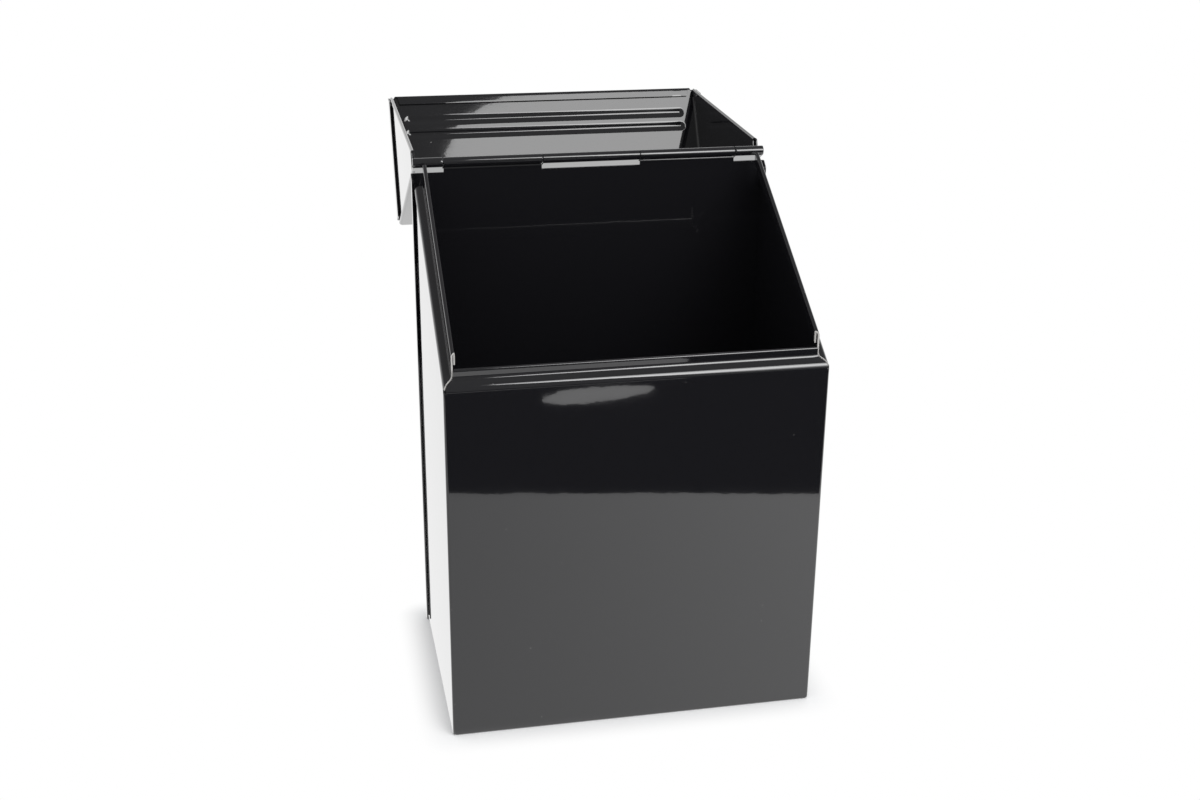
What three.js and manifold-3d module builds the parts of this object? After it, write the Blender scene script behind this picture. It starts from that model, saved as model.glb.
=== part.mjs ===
// A kindling box of folded sheet steel: a cuboid bin that is split along a slanted line, with a wedge
// lid hinged at the top of its back. The lid is shown thrown back on its stop.
//
// Millimetres. X runs to the right, Y to the back, Z up. The origin is the middle of the underside.
// A folded sheet is drawn as its section: a middle line that runs straight and turns through bends.

import * as THREE from 'three';
import { mergeVertices } from 'three/addons/utils/BufferGeometryUtils.js';
import Module from 'manifold-3d';

// ---- driving sizes -------------------------------------------------------------------------------

const width = 180;               // over the side panels
const depth = 120;               // front face to the back panel's outer face
const front_height = 181;        // underside to the slanted plane of the rims, at the front face
const slope_deg = 29.7;          // slope of that plane, on which the lid rests

const sheet = 0.8;               // thickness of every sheet
const seat_gap = 0.3;            // between two pieces that touch
const hem_gap = 0.4;             // left inside a folded hem
const mitre_gap = 0.5;           // open joint where two rims meet at a corner
const facet_deg = 10;            // largest turn of one facet in a bend

const corner_radius = 1.2;       // outside radius of the shell's upright corners
const foot_hem = 6;              // hem folded up inside the shell's lower edge
const brow_radius = 3.6;         // outside radius of the bend from the front panel to its shoulder
const rim_radius = 2.4;          // and of the bend from a side panel to its shoulder
const root_radius = 1.6;         // inside radius of the bend from a shoulder to its collar
const shoulder_width = 4.2;      // panel's outer face to the collar's outer face
const front_collar = 7;          // height of the front collar above the plane's front edge
const side_collar = 9.4;         // height of a side collar, square to the slope
const collar_hem = 4;            // hem folded down inside a collar
const rim_setback = 8;           // back face to the rear end of a side rim

const pan_radius = 2;            // outside radius of the base pan's bends
const pan_wall = 12;             // height of the base pan's walls

const back_radius = 1;           // outside radius of the back panel's corners
const back_flange = 5;           // flange that laps over each side panel
const foot_clearance = 0.4;      // floor to the back panel's raw lower edge

const barrel_radius = 2.5;       // outside radius of the rolled hinge
const pin_radius = 1.4;          // wire that the hinge turns on
const pin_bevel = 0.3;           // broken edge at each end of the wire
const hinge_rise = 5;            // slope line at the back face to the hinge axis
const end_knuckle = 15;          // length of the two outer knuckles
const knuckle_gap = 0.5;         // between neighbouring knuckles
const offset_radius = 1.6;       // middle radius of the bend that brings a knuckle over its panel
const body_roll_end_deg = 230;   // where a body knuckle's curl ends, round the axis from the back
const lid_roll_deg = 298;        // how far a lid knuckle is curled
const open_deg = 208.8;          // how far the lid turns from shut until it meets its stop

const lid_gap = 0.5;             // side shoulders to the cheeks' free edges when shut
const lid_front_gap = 1.1;       // plane's front edge to the lid's front edge, where the shoulder rises
const lid_radius = 1.6;          // outside radius of the lid's bends
const lid_hem = 5;               // hem folded up inside the lid's free edges
const lid_hem_taper = 3;         // how much shorter a hem's inner edge is at each end
const lid_flange = 10;           // flanges of the lid's front panel
const cheek_setback = 7;         // back face to the rear end of a cheek
const bead_width = 5;            // pressed beads across the lid's front panel
const bead_height = 1.2;
const bead_end = 8;              // side of the lid to the end of a bead
const bead_rise = 14.9;          // lid's front edge to the middle of the lower bead
const bead_pitch = 8.2;

// ---- what follows from them ----------------------------------------------------------------------

const side = width / 2;
const front = -depth / 2;
const back = depth / 2;
const slope = THREE.MathUtils.degToRad(slope_deg);
const rear_height = front_height + depth * Math.tan(slope);
const hinge_y = back - sheet / 2;
const hinge_z = rear_height + hinge_rise;
const curl_radius = barrel_radius - sheet / 2;
const lid_top = hinge_z + barrel_radius;
const hem_thickness = 2 * sheet + hem_gap;
const open = THREE.MathUtils.degToRad(open_deg);
const centre_knuckle = (width - 2 * end_knuckle) / 3;
const slack = 2;                 // how far a rim's leg runs down over the wall that it grows from
const far = 2 * (width + depth + lid_top);

const wasm = await Module();
wasm.setup();

// ---- solids --------------------------------------------------------------------------------------

/** Turns a closed geometry into a solid, with its faces pointing out. */
function solidOf(geometry) {
  const bare = geometry.clone();
  bare.deleteAttribute('normal');
  bare.deleteAttribute('uv');
  const merged = mergeVertices(bare, 1e-4);
  const points = Float32Array.from(merged.attributes.position.array);
  const faces = Uint32Array.from(merged.index.array);
  if (signedVolume(points, faces) < 0) {
    for (let i = 0; i < faces.length; i += 3) {
      [faces[i], faces[i + 1]] = [faces[i + 1], faces[i]];
    }
  }
  return new wasm.Manifold(new wasm.Mesh({ numProp: 3, vertProperties: points, triVerts: faces }));
}

/** Sum of the tetrahedra from the origin to each face: negative where the faces point in. */
function signedVolume(points, faces) {
  const corner = [new THREE.Vector3(), new THREE.Vector3(), new THREE.Vector3()];
  let volume = 0;
  for (let i = 0; i < faces.length; i += 3) {
    corner.forEach((c, k) => c.fromArray(points, 3 * faces[i + k]));
    volume += corner[0].dot(corner[1].cross(corner[2])) / 6;
  }
  return volume;
}

/** An outline in the plane of p and q, carried for a length along w, all from one corner point. */
function prism(outline, length, origin, p, q, w) {
  const shape = new THREE.Shape(outline);
  const geometry = new THREE.ExtrudeGeometry(shape, { depth: length, bevelEnabled: false });
  const frame = new THREE.Matrix4().makeBasis(p, q, w).setPosition(origin);
  return solidOf(geometry.applyMatrix4(frame));
}

const X = new THREE.Vector3(1, 0, 0);
const Y = new THREE.Vector3(0, 1, 0);
const Z = new THREE.Vector3(0, 0, 1);
const at = (x, y, z) => new THREE.Vector3(x, y, z);
const point = (p, q) => new THREE.Vector2(p, q);

const alongX = (outline, x0, x1) => prism(outline, x1 - x0, at(x0, 0, 0), Y, Z, X);
const alongY = (outline, y0, y1) => prism(outline, y1 - y0, at(0, y0, 0), X, Z, Y);
const alongZ = (outline, z0, z1) => prism(outline, z1 - z0, at(0, 0, z0), X, Y, Z);

/** Corners of a rectangle, for a prism. */
function rectangle(p0, q0, p1, q1) {
  return [point(p0, q0), point(p1, q0), point(p1, q1), point(p0, q1)];
}

/** Slanted frame of one side: inwards, square to the slope, and up the slope from the front edge. */
function slopeFrame(hand) {
  return {
    origin: at(hand * side, front, front_height),
    inwards: at(-hand, 0, 0),
    normal: at(0, -Math.sin(slope), Math.cos(slope)),
    uphill: at(0, Math.cos(slope), Math.sin(slope)),
  };
}

/** A section in the slanted frame of one side, from a point down the slope to one up it. */
function alongSlope(outline, hand, s0, s1) {
  const { origin, inwards, normal, uphill } = slopeFrame(hand);
  const start = origin.clone().addScaledVector(uphill, s0);
  return prism(outline, s1 - s0, start, inwards, normal, uphill);
}

/** Height of the slope line above a place from front to back. */
const slopeHeight = (y) => front_height + (y - front) * Math.tan(slope);

const run = (length) => ({ length });
const bend = (degrees, radius) => ({ turn: THREE.MathUtils.degToRad(degrees), radius });

/**
 * Outline of a folded sheet. Its middle line starts at (p, q) with a heading in degrees, runs straight,
 * and turns left (positive) or right about bends given by their middle radius.
 */
function folded(p, q, heading, moves) {
  const left = [];
  const right = [];
  let angle = THREE.MathUtils.degToRad(heading);
  const mark = () => {
    const across = point(-Math.sin(angle), Math.cos(angle)).multiplyScalar(sheet / 2);
    left.push(point(p, q).add(across));
    right.unshift(point(p, q).sub(across));
  };
  mark();
  for (const move of moves) {
    if (move.length !== undefined) {
      p += move.length * Math.cos(angle);
      q += move.length * Math.sin(angle);
      mark();
      continue;
    }
    const hand = Math.sign(move.turn);
    const centre = point(p - hand * move.radius * Math.sin(angle), q + hand * move.radius * Math.cos(angle));
    const steps = Math.ceil(Math.abs(move.turn) / THREE.MathUtils.degToRad(facet_deg));
    for (let i = 0; i < steps; i += 1) {
      angle += move.turn / steps;
      p = centre.x + hand * move.radius * Math.sin(angle);
      q = centre.y - hand * move.radius * Math.cos(angle);
      mark();
    }
  }
  return [...left, ...right];
}

/** Bend radius at the middle of the sheet, from the radius on its outside or inside. */
const fromOutside = (radius) => radius - sheet / 2;
const fromInside = (radius) => radius + sheet / 2;
const hem = (hand) => bend(hand * 180, (sheet + hem_gap) / 2);
const hem_radius = hem_thickness / 2;

/** Joins a list of solids. */
const join = (solids) => solids.reduce((whole, solid) => whole.add(solid));

/** The same solid for the left and the right, made by a function of the hand. */
const bothSides = (make) => join([make(-1), make(1)]);

// ---- body shell: front and sides in one sheet, with its rim --------------------------------------

/** Distance from the corner that a bend rounds off to the bend's start. */
const bendStart = (radius, turn) => radius * Math.tan(turn / 2);

/**
 * Section of a rim: the leg goes up, the shoulder inwards at a pitch, the collar up. The shoulder's plane
 * and the panel's outer face cross at its origin, from which the collar's height is taken.
 */
function rimSection(pitch, radius, collar_height) {
  const turn = Math.PI / 2 - pitch;
  const turn_deg = THREE.MathUtils.radToDeg(turn);
  const toe = bendStart(root_radius, turn);
  const shoulder = shoulder_width / Math.cos(pitch) - bendStart(radius, turn) - toe;
  return folded(sheet / 2, -bendStart(radius, turn) - slack, 90, [
    run(slack),
    bend(-turn_deg, fromOutside(radius)),
    run(shoulder),
    bend(turn_deg, fromInside(root_radius)),
    run(collar_height - shoulder_width * Math.tan(pitch) - toe - hem_radius),
    hem(-1),
    run(collar_hem),
  ]);
}

/** Plan of the shell's outside, which trims the ends of the rims and hems to the upright corners. */
function shellPlan(y_rear) {
  const plan = new THREE.Shape();
  plan.moveTo(side, y_rear);
  plan.lineTo(-side, y_rear);
  plan.lineTo(-side, front + corner_radius);
  plan.absarc(-side + corner_radius, front + corner_radius, corner_radius, Math.PI, 1.5 * Math.PI);
  plan.lineTo(side - corner_radius, front);
  plan.absarc(side - corner_radius, front + corner_radius, corner_radius, 1.5 * Math.PI, 2 * Math.PI);
  return plan.getPoints(Math.ceil(90 / facet_deg));
}

/** Front strip of the plan between two mitres, and the strip of one side, as far in as a reach. */
function mitreFront(reach) {
  const cut = mitre_gap * Math.SQRT1_2;
  return [
    point(-side + cut, front),
    point(side - cut, front),
    point(side - cut - reach, front + reach),
    point(-side + cut + reach, front + reach),
  ];
}

function mitreSide(hand, reach, y_rear) {
  const cut = mitre_gap * Math.SQRT1_2;
  return [
    point(hand * side, front + cut),
    point(hand * (side - reach), front + cut + reach),
    point(hand * (side - reach), y_rear),
    point(hand * side, y_rear),
  ];
}

function bodyShell() {
  const y_rear = back - sheet - seat_gap;
  const y_rim = back - rim_setback;
  const wall_run = y_rear - front - corner_radius;
  const plan = folded(-side + sheet / 2, y_rear, -90, [
    run(wall_run),
    bend(90, fromOutside(corner_radius)),
    run(width - 2 * corner_radius),
    bend(90, fromOutside(corner_radius)),
    run(wall_run),
  ]);
  const drop = rim_radius / Math.cos(slope);
  const front_top = front_height - bendStart(brow_radius, Math.PI / 2 - slope);
  const side_view = [
    point(front - slack, hem_radius),
    point(back + slack, hem_radius),
    point(back + slack, slopeHeight(back + slack) - drop),
    point(front + corner_radius, slopeHeight(front + corner_radius) - drop),
    point(front + corner_radius, front_top),
    point(front - slack, front_top),
  ];
  const walls = alongZ(plan, 0, lid_top).intersect(alongX(side_view, -far, far));

  const reach = shoulder_width + hem_thickness + slack;
  const front_section = rimSection(slope, brow_radius, front_collar);
  const front_rim = prism(front_section, width, at(-side, front, front_height), Y, Z, X)
    .intersect(alongZ(mitreFront(reach), 0, far));
  const side_section = rimSection(0, rim_radius, side_collar);
  const side_rims = bothSides((hand) => alongSlope(side_section, hand, -far / 4, far / 4)
    .intersect(alongZ(mitreSide(hand, reach, y_rim), 0, far)));

  const foot = folded(sheet / 2, hem_radius + slack, -90, [run(slack), hem(1), run(foot_hem)]);
  const foot_reach = hem_thickness + slack;
  const front_foot = prism(foot, width, at(-side, front, 0), Y, Z, X)
    .intersect(alongZ(mitreFront(foot_reach), -slack, far));
  const side_feet = bothSides((hand) => prism(foot, depth, at(hand * side, front, 0), at(-hand, 0, 0), Z, Y)
    .intersect(alongZ(mitreSide(hand, foot_reach, y_rear), -slack, far)));

  const trims = join([front_rim, side_rims, front_foot, side_feet])
    .intersect(alongZ(shellPlan(y_rear), -slack, far));
  return walls.add(trims);
}

// ---- base pan: a shallow tray held between the shell's hems --------------------------------------

function basePan() {
  const half = side - hem_thickness - seat_gap;
  const y0 = front + hem_thickness + seat_gap;
  const y1 = back - sheet - seat_gap;
  const wall = run(pan_wall - pan_radius);
  const corner = bend(90, fromOutside(pan_radius));
  const tray = (low, high) => folded(low + sheet / 2, pan_wall, -90, [
    wall,
    corner,
    run(high - low - 2 * pan_radius),
    corner,
    wall,
  ]);
  const notch = pan_radius + mitre_gap;
  const lengthways = alongY(tray(-half, half), y0 + notch, y1 - notch);
  const crossways = alongX(tray(y0, y1), -half + notch, half - notch);
  return lengthways.add(crossways);
}

// ---- hinge ---------------------------------------------------------------------------------------

/** Knuckles in order from the left, each with the piece that it is rolled from. */
const knuckles = [end_knuckle, centre_knuckle, centre_knuckle, centre_knuckle, end_knuckle]
  .map((length, i, all) => {
    const start = -side + all.slice(0, i).reduce((sum, before) => sum + before, 0);
    return { owner: i % 2 ? 'body' : 'lid', start, end: start + length, inner: [i > 0, i < all.length - 1] };
  });

/** Ends of a knuckle, moved in by half the gap where it has a neighbour. */
function knuckleSpan({ start, end, inner }) {
  const clearance = knuckle_gap / 2;
  return [start + (inner[0] ? clearance : 0), end - (inner[1] ? clearance : 0)];
}

/** Section of a body knuckle: out over the panel by a reverse bend, then curled forward. */
function bodyKnuckle([x0, x1]) {
  const offset = Math.acos(offset_radius / (offset_radius + curl_radius));
  const offset_deg = THREE.MathUtils.radToDeg(offset);
  const rise = (offset_radius + curl_radius) * Math.sin(offset);
  const section = folded(hinge_y, hinge_z - rise - slack, 90, [
    run(slack),
    bend(-offset_deg, offset_radius),
    bend(offset_deg + body_roll_end_deg, curl_radius),
  ]);
  return alongX(section, x0, x1);
}

/** Section of a lid knuckle: a tab of the lid's top sheet curled down behind the wire and forward again. */
function lidKnuckle([x0, x1]) {
  const leg = hinge_y - (back - cheek_setback) - mitre_gap;
  const section = folded(hinge_y - leg, hinge_z + curl_radius, 0, [run(leg), bend(-lid_roll_deg, curl_radius)]);
  return alongX(section, x0, x1);
}

function hingePin() {
  const half = side;
  const outline = [
    point(0, -half),
    point(pin_radius - pin_bevel, -half),
    point(pin_radius, -half + pin_bevel),
    point(pin_radius, half - pin_bevel),
    point(pin_radius - pin_bevel, half),
    point(0, half),
  ];
  const wire = new THREE.LatheGeometry(outline, 360 / (2 * facet_deg));
  const frame = new THREE.Matrix4().makeBasis(Y, X, Z).setPosition(at(0, hinge_y, hinge_z));
  return solidOf(wire.applyMatrix4(frame));
}

// ---- back panel: laps over the sides and carries two knuckles ------------------------------------

function backPanel() {
  const half = side + seat_gap + sheet;
  const flange_run = back_flange - back_radius;
  const plan = folded(-half + sheet / 2, back - back_flange, 90, [
    run(flange_run),
    bend(-90, fromOutside(back_radius)),
    run(2 * (half - back_radius)),
    bend(-90, fromOutside(back_radius)),
    run(flange_run),
  ]);
  const side_view = [
    point(back - back_flange, foot_clearance),
    point(back, foot_clearance),
    point(back, rear_height),
    point(back - back_radius, rear_height),
    point(back - back_flange, slopeHeight(back - back_flange)),
  ];
  const panel = alongZ(plan, 0, hinge_z).intersect(alongX(side_view, -far, far));
  const curls = knuckles.filter(({ owner }) => owner === 'body').map((knuckle) => bodyKnuckle(knuckleSpan(knuckle)));
  return join([panel, ...curls]);
}

// ---- lid cover: top and cheeks in one sheet, drawn shut ------------------------------------------

function lidCover() {
  const underside = lid_top - sheet;
  const y_cheek = back - cheek_setback;
  // Between its own knuckles the top ends just clear of the body's. Once it is thrown back this edge
  // lies in the hollow of their reverse bends, which is the lid's stop.
  const y_edge = hinge_y - Math.sqrt((barrel_radius + seat_gap) ** 2 - (barrel_radius - sheet) ** 2);
  const y_inner = front + lid_radius;
  const free_edge = (y) => slopeHeight(y) + lid_gap;
  const cheek_run = lid_top - free_edge(front);
  const arch = folded(-side + sheet / 2, free_edge(front), 90, [
    run(cheek_run - lid_radius),
    bend(-90, fromOutside(lid_radius)),
    run(width - 2 * lid_radius),
    bend(-90, fromOutside(lid_radius)),
    run(cheek_run - lid_radius),
  ]);
  const above_hem = hem_radius / Math.cos(slope);
  const side_view = [
    point(front, underside),
    point(y_inner, underside),
    point(y_inner, free_edge(y_inner) + above_hem),
    point(y_cheek, free_edge(y_cheek) + above_hem),
    point(y_cheek, lid_top - lid_radius),
    point(y_edge, lid_top - lid_radius),
    point(y_edge, lid_top + slack),
    point(front, lid_top + slack),
  ];
  const beyond_cheek = bothSides((hand) => alongZ([
    point(hand * (side - lid_radius), y_cheek),
    point(hand * far, y_cheek),
    point(hand * far, back),
    point(hand * (side - lid_radius), back),
  ], 0, far));
  const walls = alongY(arch, front, y_edge).intersect(alongX(side_view, -far, far)).subtract(beyond_cheek);

  const lift = lid_gap * Math.cos(slope);
  const hem_section = folded(sheet / 2, lift + hem_radius + lid_hem, -90, [
    run(lid_hem),
    hem(1),
    run(lid_hem - hem_radius),
  ]);
  const s0 = (hem_thickness + seat_gap) / Math.cos(slope);
  const s1 = (y_cheek - front) / Math.cos(slope);
  const hems = bothSides((hand) => {
    const { origin, inwards, normal, uphill } = slopeFrame(hand);
    const top = lift + lid_hem;
    const flap = [
      point(s0, lift),
      point(s1, lift),
      point(s1 - lid_hem_taper, top),
      point(s0 + lid_hem_taper, top),
    ];
    const window = prism(flap, hem_thickness, origin, uphill, normal, inwards);
    return alongSlope(hem_section, hand, 0, far / 4).intersect(window);
  });

  const curls = knuckles.filter(({ owner }) => owner === 'lid')
    .map((knuckle) => lidKnuckle(knuckleSpan(knuckle)));
  return join([walls, hems, ...curls]);
}

// ---- lid front: beaded panel that laps over the cheeks, drawn shut -------------------------------

/** Outline of half a bead's section: the arc that springs from a chord of a width to a height. */
function beadArc(half_width, height) {
  const radius = (half_width ** 2 + height ** 2) / (2 * height);
  const reach = Math.asin(half_width / radius);
  const steps = Math.ceil(THREE.MathUtils.radToDeg(reach) / facet_deg);
  return Array.from({ length: steps + 1 }, (_, i) => {
    const angle = reach * (1 - i / steps);
    return point(radius * Math.sin(angle), radius * (Math.cos(angle) - 1) + height);
  });
}

/** A long round-ended bead that stands out of a face at y, about a height z. */
function bead(half_width, height, y, z, depth_in) {
  const arc = beadArc(half_width, height);
  const half_run = side - bead_end - bead_width / 2;
  const mirrored = arc.slice(0, -1).reverse().map(({ x, y: q }) => point(-x, q));
  const section = [point(-half_width, -depth_in), point(half_width, -depth_in), ...arc, ...mirrored];
  const out = at(0, -1, 0);
  const bar = prism(section, 2 * half_run, at(-half_run, y, z), Z, out, X);
  const ends = bothSides((hand) => {
    const profile = [point(0, -depth_in), point(half_width, -depth_in), ...arc];
    profile[profile.length - 1].x = 0;
    const cap = new THREE.LatheGeometry(profile, 360 / facet_deg);
    const frame = new THREE.Matrix4().makeBasis(X, out, Z).setPosition(at(hand * half_run, y, z));
    return solidOf(cap.applyMatrix4(frame));
  });
  return bar.add(ends);
}

function lidFront() {
  const half = side + seat_gap + sheet;
  const bottom = front_height + lid_front_gap;
  const flange_top = lid_top - sheet - seat_gap;
  const plan = folded(-half + sheet / 2, front + lid_flange, -90, [
    run(lid_flange - lid_radius),
    bend(90, fromOutside(lid_radius)),
    run(2 * (half - lid_radius)),
    bend(90, fromOutside(lid_radius)),
    run(lid_flange - lid_radius),
  ]);
  const flange_edge = slopeHeight(front + lid_flange) + lid_gap;
  const side_view = [
    point(front, bottom + hem_radius),
    point(front + lid_radius, bottom + hem_radius),
    point(front + lid_flange, flange_edge + hem_radius),
    point(front + lid_flange, flange_top - lid_radius),
    point(front, flange_top - lid_radius),
  ];
  const walls = alongZ(plan, 0, far).intersect(alongX(side_view, -far, far));

  const top_half = side - lid_radius - seat_gap;
  const top_flange = folded(front + sheet / 2, flange_top - lid_radius - slack, 90, [
    run(slack),
    bend(-90, fromOutside(lid_radius)),
    run(lid_flange - lid_radius),
  ]);
  const hem_section = folded(front + sheet / 2, bottom + hem_radius + lid_hem, -90, [
    run(lid_hem),
    hem(1),
    run(lid_hem - hem_radius),
  ]);
  const hem_half = side - hem_thickness - seat_gap;
  const flap = [
    point(-hem_half, bottom),
    point(hem_half, bottom),
    point(hem_half - lid_hem_taper, bottom + lid_hem),
    point(-hem_half + lid_hem_taper, bottom + lid_hem),
  ];
  const hem_strip = alongX(hem_section, -hem_half, hem_half)
    .intersect(alongY(flap, front, front + hem_thickness));
  const panel = join([walls, alongX(top_flange, -top_half, top_half), hem_strip]);

  const rises = [bead_rise, bead_rise + bead_pitch];
  const ribs = rises.map((rise) => bead(bead_width / 2, bead_height, front, bottom + rise, sheet / 2));
  const grooves = rises.map((rise) => {
    return bead(bead_width / 2 - sheet / 2, bead_height, front + sheet, bottom + rise, sheet);
  });
  return panel.add(join(ribs)).subtract(join(grooves));
}

// ---- the object ----------------------------------------------------------------------------------

/** Gloss black enamel over steel. */
const enamel = () => new THREE.MeshStandardMaterial({ color: 0x0b0b0d, roughness: 0.08, metalness: 0 });
const bare_wire = () => new THREE.MeshStandardMaterial({ color: 0x3a3b3d, roughness: 0.35, metalness: 1 });

/** A named mesh of a solid, moved so that its own origin is where it is held. */
function piece(name, solid, material, origin = at(0, 0, 0)) {
  const { vertProperties, triVerts } = solid.getMesh();
  const geometry = new THREE.BufferGeometry();
  geometry.setAttribute('position', new THREE.BufferAttribute(Float32Array.from(vertProperties), 3));
  geometry.setIndex(new THREE.BufferAttribute(Uint32Array.from(triVerts), 1));
  geometry.translate(-origin.x, -origin.y, -origin.z);
  geometry.computeVertexNormals();
  const mesh = new THREE.Mesh(geometry, material);
  mesh.name = name;
  return mesh;
}

const kindling_box = new THREE.Group();
kindling_box.add(piece('body_shell', bodyShell(), enamel()));
kindling_box.add(piece('back_panel', backPanel(), enamel()));
kindling_box.add(piece('base_pan', basePan(), enamel()));
kindling_box.add(piece('hinge_pin', hingePin(), bare_wire()));

const hinge_line = at(0, hinge_y, hinge_z);
const lid = new THREE.Group();
lid.add(piece('lid_cover', lidCover(), enamel(), hinge_line));
lid.add(piece('lid_front', lidFront(), enamel(), hinge_line));
lid.position.copy(hinge_line);
lid.rotation.x = -open;
kindling_box.add(lid);

export default kindling_box;
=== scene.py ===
"""A kindling box of folded sheet steel in gloss black enamel, with its wedge lid thrown back.

Pieces are worked out in millimetres in the model's own frame and put into meshes in metres.
"""

import math

import bmesh
import bpy
import numpy as np
from mathutils import Matrix


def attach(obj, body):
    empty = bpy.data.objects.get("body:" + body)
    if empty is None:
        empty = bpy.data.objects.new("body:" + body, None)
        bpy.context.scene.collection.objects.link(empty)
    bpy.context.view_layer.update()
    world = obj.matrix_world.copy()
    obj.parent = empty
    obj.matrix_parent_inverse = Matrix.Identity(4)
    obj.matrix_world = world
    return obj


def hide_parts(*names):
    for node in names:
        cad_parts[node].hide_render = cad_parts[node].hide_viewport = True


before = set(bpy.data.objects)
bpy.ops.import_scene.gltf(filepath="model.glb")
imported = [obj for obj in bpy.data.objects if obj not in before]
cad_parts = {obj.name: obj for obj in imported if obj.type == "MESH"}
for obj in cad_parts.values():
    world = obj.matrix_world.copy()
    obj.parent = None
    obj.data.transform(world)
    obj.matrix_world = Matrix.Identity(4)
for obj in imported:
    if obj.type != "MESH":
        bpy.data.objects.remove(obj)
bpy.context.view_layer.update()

# ---- camera ----------------------------------------------------------------------------------------
# It stands to the left of the box and above it, and looks down on it by about 22 degrees, through a
# plain lens on a 36 mm wide frame.

camera_place = (-0.1549, -0.7134, 0.4375)
camera_heading = math.radians(-11.748)
camera_dip = math.radians(-21.797)
camera_roll = math.radians(-0.567)
focal_length_px = 1584.6
picture_width_px = 1200

lens = bpy.data.cameras.new("camera")
lens.sensor_width = 36.0
lens.lens = lens.sensor_width * focal_length_px / picture_width_px
lens.clip_start = 0.01
camera = bpy.data.objects.new("camera", lens)
camera.matrix_world = (
    Matrix.Translation(camera_place)
    @ Matrix.Rotation(camera_heading, 4, "Z")
    @ Matrix.Rotation(camera_dip, 4, "X")
    @ Matrix.Rotation(camera_roll, 4, "Y")
    @ Matrix.Rotation(math.pi / 2, 4, "X")
)
bpy.context.scene.collection.objects.link(camera)
bpy.context.scene.camera = camera
bpy.context.scene.view_settings.view_transform = "Standard"

# ---- body shell ------------------------------------------------------------------------------------
# The front and both sides are one folded sheet of 0.8 mm steel. Its upper edge is folded in to a
# shoulder and up again to a hemmed collar, mitred at the front corners, and its lower edge is hemmed.

width = 180.0
front, back = -60.0, 60.0
front_height = 181.0
slope = math.radians(29.7)
sheet = 0.8
middle = sheet / 2
sheet_slack = 0.01  # taken off its thickness, so that it stays within the solids
broken_edge = 0.12
hem_bend = 0.6
hem_radius = 1.0
corner_radius = 1.2
brow_radius = 4.4
brow_root = 2.4
rim_radius = 2.4
rim_root = 1.0
shoulder_width = 4.2
front_collar = 7.0
side_collar = 9.4
collar_hem = 4.0
foot_hem = 6.0
rim_end = 52.0
shell_end = 58.9
mitre_cut = 0.35
panel_dish = 0.03  # how far the front panel lies in at its middle, and its unevenness
dish_margin = 12.0


def fold(start, heading, *moves):
    """Middle line of a folded sheet, as points across its section.

    A move is (length, parts) for a straight run, which adds equal steps along the heading, or
    (degrees, radius, parts) for a bend, which adds points at centre + radius * (sin, -cos) of a heading
    that turns evenly, to the left where degrees is positive.
    """
    line = [np.array([start], float)]
    angle = math.radians(heading)
    for *size, parts in moves:
        tip = line[-1][-1]
        share = np.arange(1, parts + 1) / parts
        if len(size) == 1:
            line.append(tip + np.outer(share * size[0], [math.cos(angle), math.sin(angle)]))
            continue
        turn = math.radians(size[0])
        radius = math.copysign(size[1], turn)
        centre = tip + radius * np.array([-math.sin(angle), math.cos(angle)])
        headings = angle + share * turn
        line.append(centre + radius * np.stack([np.sin(headings), -np.cos(headings)], 1))
        angle += turn
    return np.concatenate(line)


def ruled(first, last, share):
    """Grid of straight lines between two edges: each row is first + share * (last - first)."""
    return first[:, None] + np.asarray(share)[None, :, None] * (last - first)[:, None]


def place(x, y, z):
    """Points from their three coordinates, any of which may be a plain number."""
    return np.stack(np.broadcast_arrays(x, y, z), -1).astype(float)


def spread(low, high, parts):
    """Evenly spaced stations from low to high."""
    return np.linspace(low, high, parts + 1)


def share_of(stations):
    """Stations as shares of their own span."""
    return (stations - stations[0]) / (stations[-1] - stations[0])


def grid_quads(rows, columns, start=0):
    """Corner numbers of a grid's quads, where its points are numbered row by row from a start."""
    at = start + np.arange(rows * columns).reshape(rows, columns)
    return np.stack([at[:-1, :-1], at[1:, :-1], at[1:, 1:], at[:-1, 1:]], -1).reshape(-1, 4)


def welded_mesh(name, points, quads):
    """Mesh from points in millimetres, with equal points merged and its faces turned outwards."""
    mesh = bpy.data.meshes.new(name)
    mesh.from_pydata(points / 1000, [], quads)
    welded = bmesh.new()
    welded.from_mesh(mesh)
    bmesh.ops.remove_doubles(welded, verts=welded.verts, dist=2e-6)
    bmesh.ops.recalc_face_normals(welded, faces=welded.faces)
    welded.to_mesh(mesh)
    welded.free()
    mesh.shade_smooth()
    return mesh


def sheet_piece(name, grids, body, node):
    """One piece of folded sheet, from grids of points on its middle surface.

    Grids that share an edge have the same points there, which are merged. The sheet then gets its
    thickness to both sides, a broken edge, and shading that keeps the flats flat.
    """
    quads, count = [], 0
    for grid in grids:
        quads.append(grid_quads(*grid.shape[:2], count))
        count += grid.shape[0] * grid.shape[1]
    points = np.concatenate([grid.reshape(-1, 3) for grid in grids])
    piece = bpy.data.objects.new(name, welded_mesh(name, points, np.concatenate(quads)))
    bpy.context.scene.collection.objects.link(piece)
    thicken = piece.modifiers.new("thickness", "SOLIDIFY")
    thicken.thickness = (sheet - sheet_slack) / 1000
    thicken.offset = 0
    thicken.use_even_offset = True
    thicken.use_quality_normals = True
    broken = piece.modifiers.new("broken edge", "BEVEL")
    broken.width = broken_edge / 1000
    broken.segments = 2
    broken.limit_method = "ANGLE"
    broken.angle_limit = math.radians(55)
    flats = piece.modifiers.new("flats", "WEIGHTED_NORMAL")
    flats.mode = "FACE_AREA"
    flats.weight = 90
    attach(piece, body)
    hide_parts(node)
    return piece


def slope_height(y):
    """Height of the slope line above a place from front to back."""
    return front_height + (y - front) * math.tan(slope)


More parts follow.
